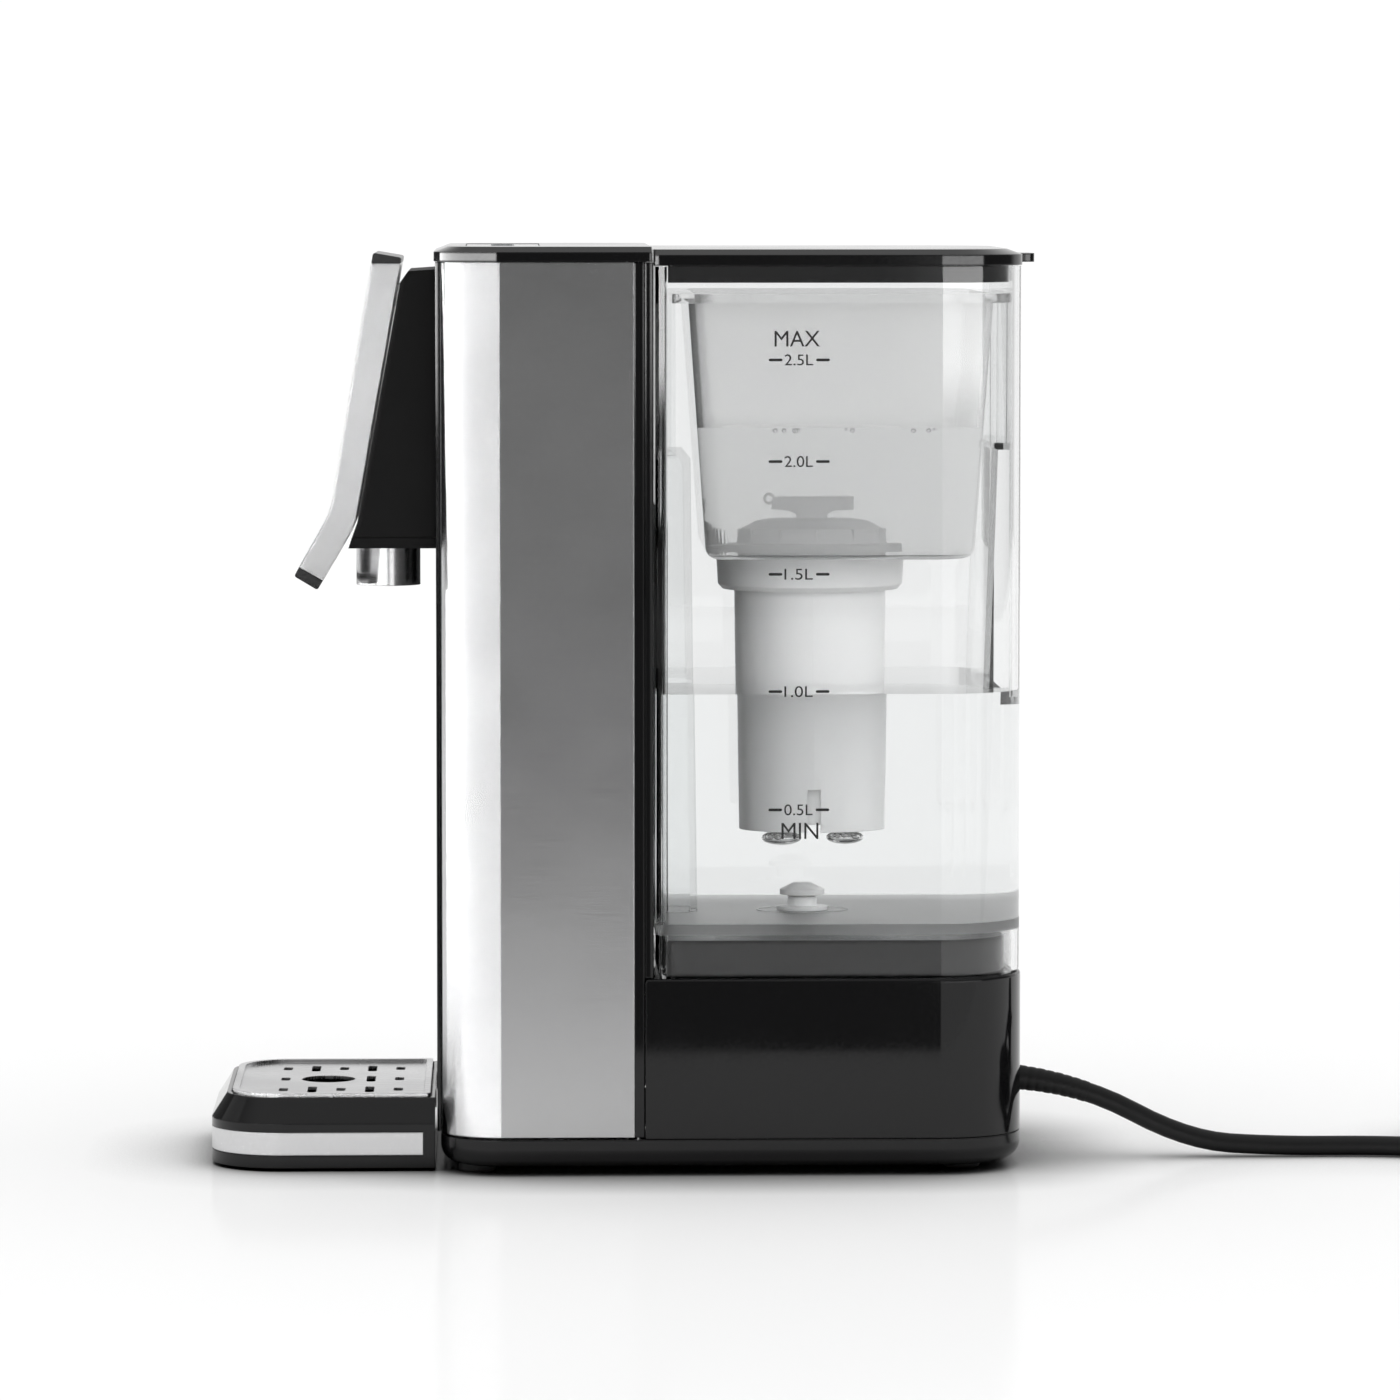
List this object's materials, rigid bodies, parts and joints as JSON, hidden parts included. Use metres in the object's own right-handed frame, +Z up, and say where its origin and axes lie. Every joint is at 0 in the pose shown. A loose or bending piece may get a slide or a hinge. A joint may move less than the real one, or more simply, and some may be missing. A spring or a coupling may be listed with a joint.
{
  "type": "countertop water dispenser",
  "caption": "Countertop hot water dispenser with a clear lift-off rear tank, filter funnel, steel column, front lever, spout and drip tray.",
  "frame": {"origin": "on the standing surface, below the middle of the machine's width and depth, mains lead left out", "axes": "+Z up, -Y towards the front with spout and drip tray, +Y towards the rear with tank and mains lead, X across"},
  "size_m": [0.1701, 0.513, 0.3055],
  "materials": {
    "black_gloss": "gloss",
    "black_matte": "satin",
    "black_trim": "satin",
    "touch_glass": "gloss",
    "brushed_steel": "brushed",
    "chrome": "polished",
    "nozzle_steel": "polished",
    "machined_steel": "satin",
    "plug_metal": "nickel plated",
    "circuit_board": "satin",
    "black_rubber": "matte",
    "silicone": "satin",
    "clear_plastic": "clear",
    "frosted_plastic": "frosted",
    "white_plastic": "satin",
    "filter_granules": "grainy",
    "cord_black": "satin"
  },
  "bodies": {
    "housing": {"base_plate": "black_gloss", "rubber_feet": "black_rubber", "base_screws": "machined_steel", "base_housing": "black_gloss", "tank_pedestal": "black_gloss", "docking_socket": "black_matte", "docking_seal": "silicone", "steel_wrap": "brushed_steel", "front_panel": "black_gloss", "column_rear_cover": "black_gloss", "inner_chassis": "black_matte", "top_cap": "black_gloss", "control_panel": "touch_glass", "control_board": "circuit_board", "power_board": "circuit_board", "spout_housing": "black_matte", "spout_bottom_cover": "black_matte", "nozzle_shroud": "nozzle_steel", "nozzle_outlet": "silicone", "lever_pivot_pin": "machined_steel", "lever_spring": "machined_steel", "lever_microswitch": "black_matte", "flow_heater": "nozzle_steel", "thermostat": "machined_steel", "pump_motor": "machined_steel", "pump_volute": "black_matte", "hose_tank_to_pump": "silicone", "hose_pump_to_heater": "silicone", "hose_heater_to_nozzle": "silicone", "cord_gland": "cord_black", "cord_tube": "cord_black", "cord_coil": "cord_black", "cord_tie": "cord_black", "cord_plug_lead": "cord_black", "plug_body": "cord_black", "plug_pins": "plug_metal"},
    "lever": {"lever_frame": "chrome", "lever_face": "touch_glass", "lever_top_cap": "black_trim", "lever_end_cap": "black_trim"},
    "pump_rotor": {"pump_impeller": "black_matte", "pump_shaft": "machined_steel"},
    "drip_tray": {"tray_body": "black_gloss", "tray_band": "chrome", "tray_feet": "black_rubber"},
    "drip_grille": {"tray_grille": "brushed_steel"},
    "tank": {"tank_shell": "clear_plastic", "valve_bush": "white_plastic", "valve_spring": "machined_steel"},
    "tank_valve": {"valve_poppet": "white_plastic", "valve_seal": "silicone"},
    "funnel": {"filter_funnel": "frosted_plastic", "filter_socket": "white_plastic", "socket_gasket": "silicone"},
    "cartridge": {"cartridge_body": "white_plastic", "filter_media": "filter_granules", "cartridge_cap": "white_plastic", "cartridge_seal": "silicone"},
    "lid": {"tank_lid": "black_gloss"}
  },
  "joints": [
    {"name": "lever_pull", "type": "hinge", "parent": "housing", "child": "lever", "pos_m": [0, -0.0685, 0.289], "axis": [-1, 0, 0], "range_deg": [0, 9], "stiffness_Nm_per_rad": 0.6, "springref_deg": -17.19},
    {"name": "tray_slide", "type": "slide", "parent": "housing", "child": "drip_tray", "axis": [0, -1, 0], "range_m": [0, 0.09]},
    {"name": "grille_lift", "type": "slide", "parent": "drip_tray", "child": "drip_grille", "axis": [0, 0, 1], "range_m": [0, 0.03]},
    {"name": "tank_lift", "type": "slide", "parent": "housing", "child": "tank", "axis": [0, 0, 1], "range_m": [0, 0.165]},
    {"name": "valve_lift", "type": "slide", "parent": "tank", "child": "tank_valve", "axis": [0, 0, 1], "range_m": [0, 0.002], "stiffness_N_per_m": 200, "springref_m": -0.002, "deforming": ["valve_spring"]},
    {"name": "funnel_lift", "type": "slide", "parent": "tank", "child": "funnel", "axis": [0, 0, 1], "range_m": [0, 0.2]},
    {"name": "cartridge_lift", "type": "slide", "parent": "funnel", "child": "cartridge", "axis": [0, 0, 1], "range_m": [0, 0.1]},
    {"name": "lid_lift", "type": "slide", "parent": "cartridge", "child": "lid", "axis": [0, 0, 1], "range_m": [0, 0.05]},
    {"name": "pump_spin", "type": "hinge", "parent": "housing", "child": "pump_rotor", "pos_m": [0, 0.095, 0.042], "axis": [0, 0, 1], "continuous": true}
  ]
}
